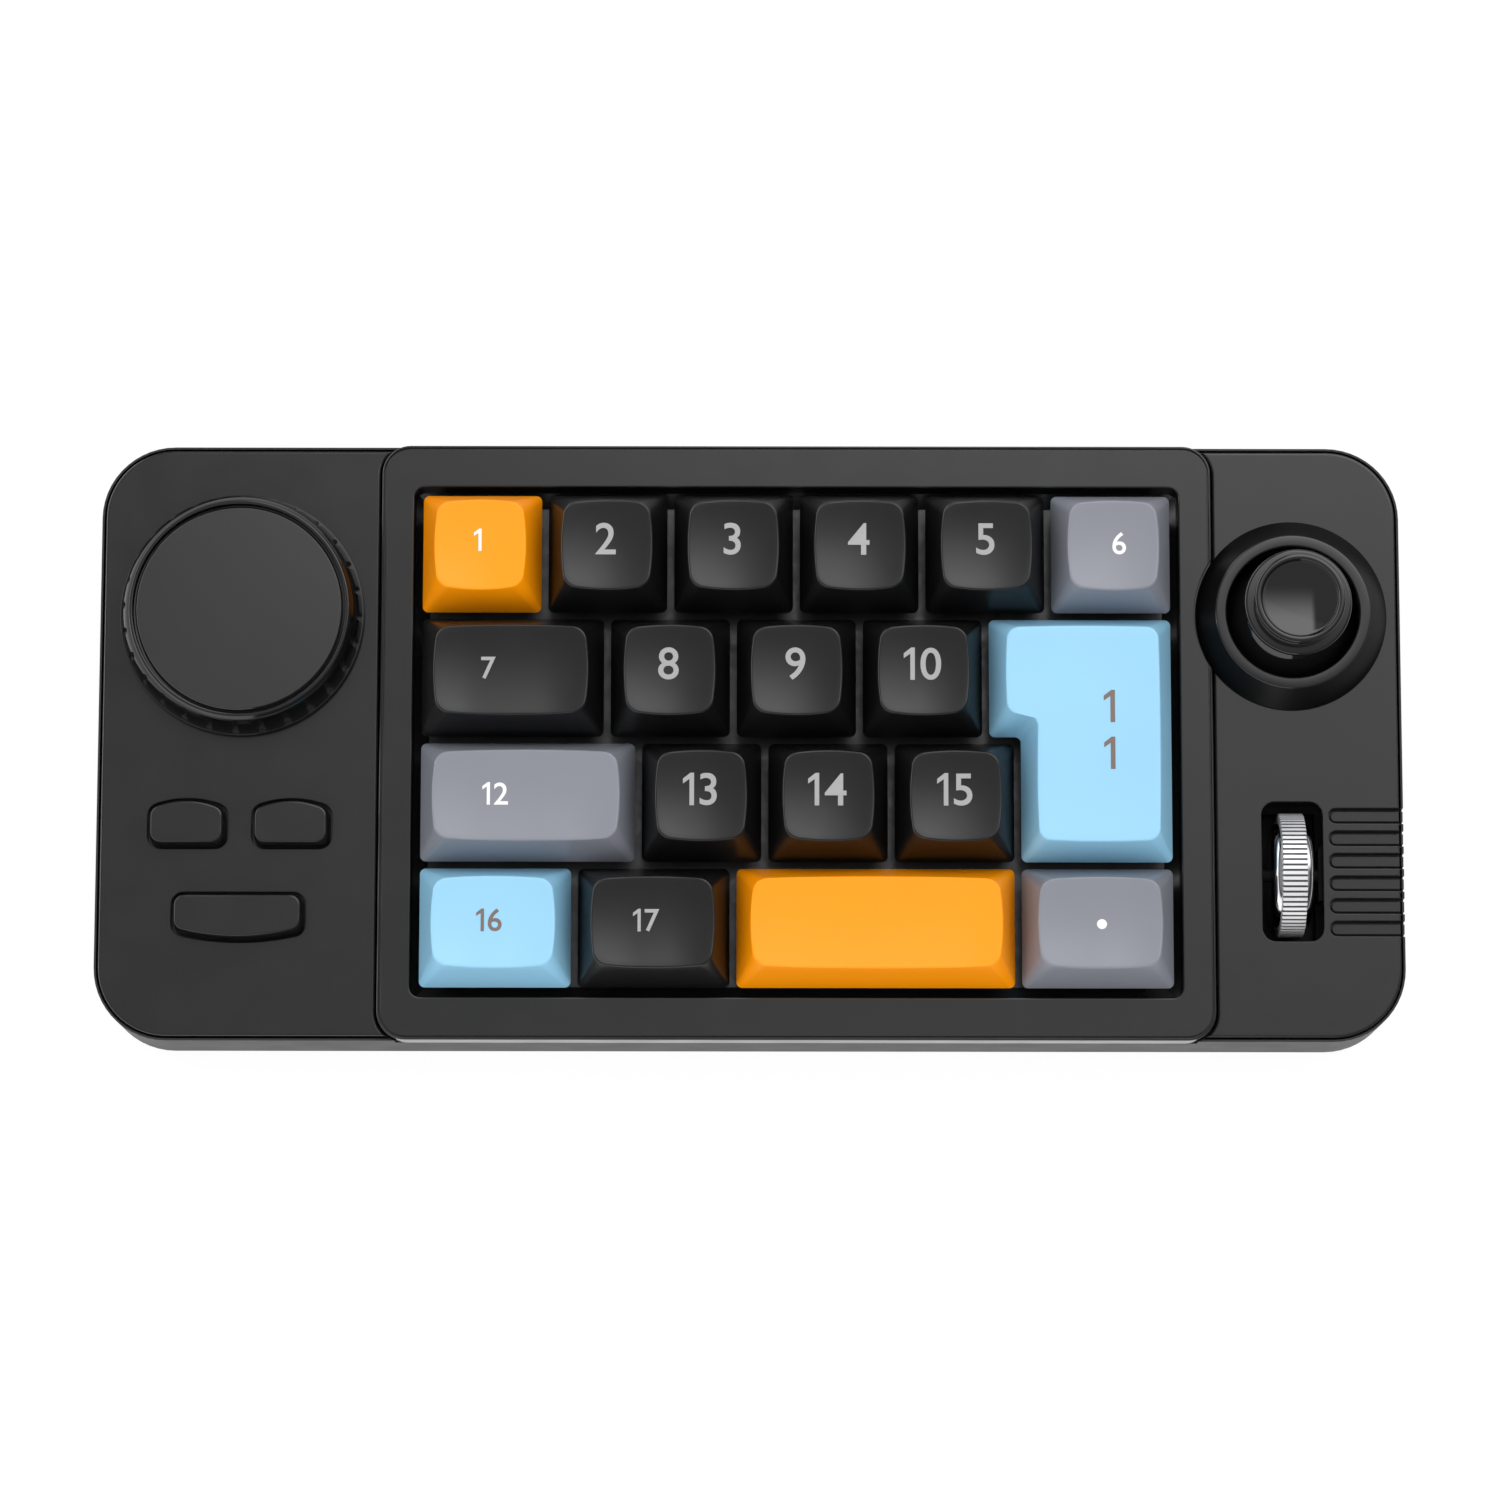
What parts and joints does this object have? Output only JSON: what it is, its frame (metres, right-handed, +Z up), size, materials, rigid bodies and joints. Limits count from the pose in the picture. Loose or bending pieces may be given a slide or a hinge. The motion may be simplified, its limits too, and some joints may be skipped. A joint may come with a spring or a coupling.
{
  "type": "gaming keypad",
  "caption": "One-hand gaming keypad: a block of sprung keys in a raised frame between a dial with function buttons on the left and a thumb stick with a roller wheel on the right.",
  "frame": {"origin": "on the resting plane of the rubber feet, at the middle of the case's width and depth", "axes": "+X to the user's right along the keypad's width, +Y away from the user, +Z up"},
  "size_m": [0.1972, 0.0908, 0.033],
  "materials": {
    "case_plastic": "fine satin texture",
    "cover_plastic": "fine satin texture",
    "frame_plastic": "fine satin texture",
    "key_black": "satin",
    "key_grey": "satin",
    "key_blue": "satin",
    "key_orange": "satin",
    "dial_plastic": "satin",
    "bezel_plastic": "gloss",
    "stick_plastic": "semi-gloss",
    "button_plastic": "satin",
    "wheel_metal": "fine ridges, bright",
    "flange_chrome": "polished",
    "steel": "plain",
    "plate_metal": "satin anodised",
    "board": "solder mask",
    "chip": "moulded",
    "switch_plastic": "moulded",
    "foot_rubber": "matt"
  },
  "bodies": {
    "case": {"lower_case": "case_plastic", "left_cover": "cover_plastic", "right_cover": "cover_plastic", "centre_frame": "frame_plastic", "circuit_board": "board", "controller_chip": "chip", "switch_plate": "plate_metal", "switch_housings": "switch_plastic", "stabiliser_housings": "switch_plastic", "cable_inlet": "steel", "case_screws": "steel", "frame_screws": "steel", "board_screws": "steel", "rubber_feet": "foot_rubber", "encoder_body": "steel", "tact_switches": "switch_plastic", "stick_bezel": "bezel_plastic", "stick_housing": "switch_plastic", "wheel_bracket": "switch_plastic", "wheel_encoder": "switch_plastic"},
    "dial_press": {"encoder_plunger": "switch_plastic"},
    "dial": {"encoder_shaft": "steel", "dial": "dial_plastic", "dial_cap": "dial_plastic"},
    "gimbal": {"gimbal_ring": "switch_plastic"},
    "stick_hub": {"stick_hub": "switch_plastic"},
    "stick": {"stick_shaft": "switch_plastic", "stick_cap": "stick_plastic"},
    "wheel": {"wheel_rim": "wheel_metal", "wheel_flanges": "flange_chrome", "wheel_axle": "switch_plastic"},
    "button_left": {"button_left": "button_plastic"},
    "button_right": {"button_right": "button_plastic"},
    "button_front": {"button_front": "button_plastic"},
    "key_01": {"key_01": "key_orange"},
    "key_02": {"key_02": "key_black"},
    "key_03": {"key_03": "key_black"},
    "key_04": {"key_04": "key_black"},
    "key_05": {"key_05": "key_black"},
    "key_06": {"key_06": "key_grey"},
    "key_07": {"key_07": "key_black"},
    "key_08": {"key_08": "key_black"},
    "key_09": {"key_09": "key_black"},
    "key_10": {"key_10": "key_black"},
    "key_11": {"key_11": "key_blue"},
    "key_12": {"key_12": "key_grey"},
    "key_13": {"key_13": "key_black"},
    "key_14": {"key_14": "key_black"},
    "key_15": {"key_15": "key_black"},
    "key_16": {"key_16": "key_blue"},
    "key_17": {"key_17": "key_black"},
    "space_bar": {"space_bar": "key_orange"},
    "key_dot": {"key_dot": "key_grey"}
  },
  "joints": [
    {"name": "key_01_press", "type": "slide", "parent": "case", "child": "key_01", "axis": [0, 0, -1], "range_m": [0, 0.004], "stiffness_N_per_m": 75, "springref_m": -0.004},
    {"name": "key_02_press", "type": "slide", "parent": "case", "child": "key_02", "axis": [0, 0, -1], "range_m": [0, 0.004], "stiffness_N_per_m": 75, "springref_m": -0.004},
    {"name": "key_03_press", "type": "slide", "parent": "case", "child": "key_03", "axis": [0, 0, -1], "range_m": [0, 0.004], "stiffness_N_per_m": 75, "springref_m": -0.004},
    {"name": "key_04_press", "type": "slide", "parent": "case", "child": "key_04", "axis": [0, 0, -1], "range_m": [0, 0.004], "stiffness_N_per_m": 75, "springref_m": -0.004},
    {"name": "key_05_press", "type": "slide", "parent": "case", "child": "key_05", "axis": [0, 0, -1], "range_m": [0, 0.004], "stiffness_N_per_m": 75, "springref_m": -0.004},
    {"name": "key_06_press", "type": "slide", "parent": "case", "child": "key_06", "axis": [0, 0, -1], "range_m": [0, 0.004], "stiffness_N_per_m": 75, "springref_m": -0.004},
    {"name": "key_07_press", "type": "slide", "parent": "case", "child": "key_07", "axis": [0, 0, -1], "range_m": [0, 0.004], "stiffness_N_per_m": 75, "springref_m": -0.004},
    {"name": "key_08_press", "type": "slide", "parent": "case", "child": "key_08", "axis": [0, 0, -1], "range_m": [0, 0.004], "stiffness_N_per_m": 75, "springref_m": -0.004},
    {"name": "key_09_press", "type": "slide", "parent": "case", "child": "key_09", "axis": [0, 0, -1], "range_m": [0, 0.004], "stiffness_N_per_m": 75, "springref_m": -0.004},
    {"name": "key_10_press", "type": "slide", "parent": "case", "child": "key_10", "axis": [0, 0, -1], "range_m": [0, 0.004], "stiffness_N_per_m": 75, "springref_m": -0.004},
    {"name": "key_11_press", "type": "slide", "parent": "case", "child": "key_11", "axis": [0, 0, -1], "range_m": [0, 0.004], "stiffness_N_per_m": 75, "springref_m": -0.004},
    {"name": "key_12_press", "type": "slide", "parent": "case", "child": "key_12", "axis": [0, 0, -1], "range_m": [0, 0.004], "stiffness_N_per_m": 75, "springref_m": -0.004},
    {"name": "key_13_press", "type": "slide", "parent": "case", "child": "key_13", "axis": [0, 0, -1], "range_m": [0, 0.004], "stiffness_N_per_m": 75, "springref_m": -0.004},
    {"name": "key_14_press", "type": "slide", "parent": "case", "child": "key_14", "axis": [0, 0, -1], "range_m": [0, 0.004], "stiffness_N_per_m": 75, "springref_m": -0.004},
    {"name": "key_15_press", "type": "slide", "parent": "case", "child": "key_15", "axis": [0, 0, -1], "range_m": [0, 0.004], "stiffness_N_per_m": 75, "springref_m": -0.004},
    {"name": "key_16_press", "type": "slide", "parent": "case", "child": "key_16", "axis": [0, 0, -1], "range_m": [0, 0.004], "stiffness_N_per_m": 75, "springref_m": -0.004},
    {"name": "key_17_press", "type": "slide", "parent": "case", "child": "key_17", "axis": [0, 0, -1], "range_m": [0, 0.004], "stiffness_N_per_m": 75, "springref_m": -0.004},
    {"name": "space_bar_press", "type": "slide", "parent": "case", "child": "space_bar", "axis": [0, 0, -1], "range_m": [0, 0.004], "stiffness_N_per_m": 75, "springref_m": -0.004},
    {"name": "key_dot_press", "type": "slide", "parent": "case", "child": "key_dot", "axis": [0, 0, -1], "range_m": [0, 0.004], "stiffness_N_per_m": 75, "springref_m": -0.004},
    {"name": "button_left_press", "type": "slide", "parent": "case", "child": "button_left", "axis": [0, 0, -1], "range_m": [0, 0.0006], "stiffness_N_per_m": 2000, "springref_m": -0.0003},
    {"name": "button_right_press", "type": "slide", "parent": "case", "child": "button_right", "axis": [0, 0, -1], "range_m": [0, 0.0006], "stiffness_N_per_m": 2000, "springref_m": -0.0003},
    {"name": "button_front_press", "type": "slide", "parent": "case", "child": "button_front", "axis": [0, 0, -1], "range_m": [0, 0.0006], "stiffness_N_per_m": 2000, "springref_m": -0.0003},
    {"name": "dial_push", "type": "slide", "parent": "case", "child": "dial_press", "axis": [0, 0, -1], "range_m": [0, 0.0005], "stiffness_N_per_m": 6000, "springref_m": -0.0003},
    {"name": "dial_turn", "type": "hinge", "parent": "dial_press", "child": "dial", "pos_m": [-0.07698, 0.0192, 0.0183], "axis": [0, 0, 1], "continuous": true},
    {"name": "stick_forward", "type": "hinge", "parent": "case", "child": "gimbal", "pos_m": [0.08203, 0.0194, 0.0126], "axis": [1, 0, 0], "range_deg": [-18, 18], "stiffness_Nm_per_rad": 0.06},
    {"name": "stick_sideways", "type": "hinge", "parent": "gimbal", "child": "stick_hub", "pos_m": [0.08203, 0.0194, 0.0126], "axis": [0, 1, 0], "range_deg": [-18, 18], "stiffness_Nm_per_rad": 0.06},
    {"name": "stick_push", "type": "slide", "parent": "stick_hub", "child": "stick", "axis": [0, 0, -1], "range_m": [0, 0.0005], "stiffness_N_per_m": 6000, "springref_m": -0.0003},
    {"name": "wheel_roll", "type": "hinge", "parent": "case", "child": "wheel", "pos_m": [0.08181, -0.01966, 0.0128], "axis": [1, 0, 0], "continuous": true}
  ]
}
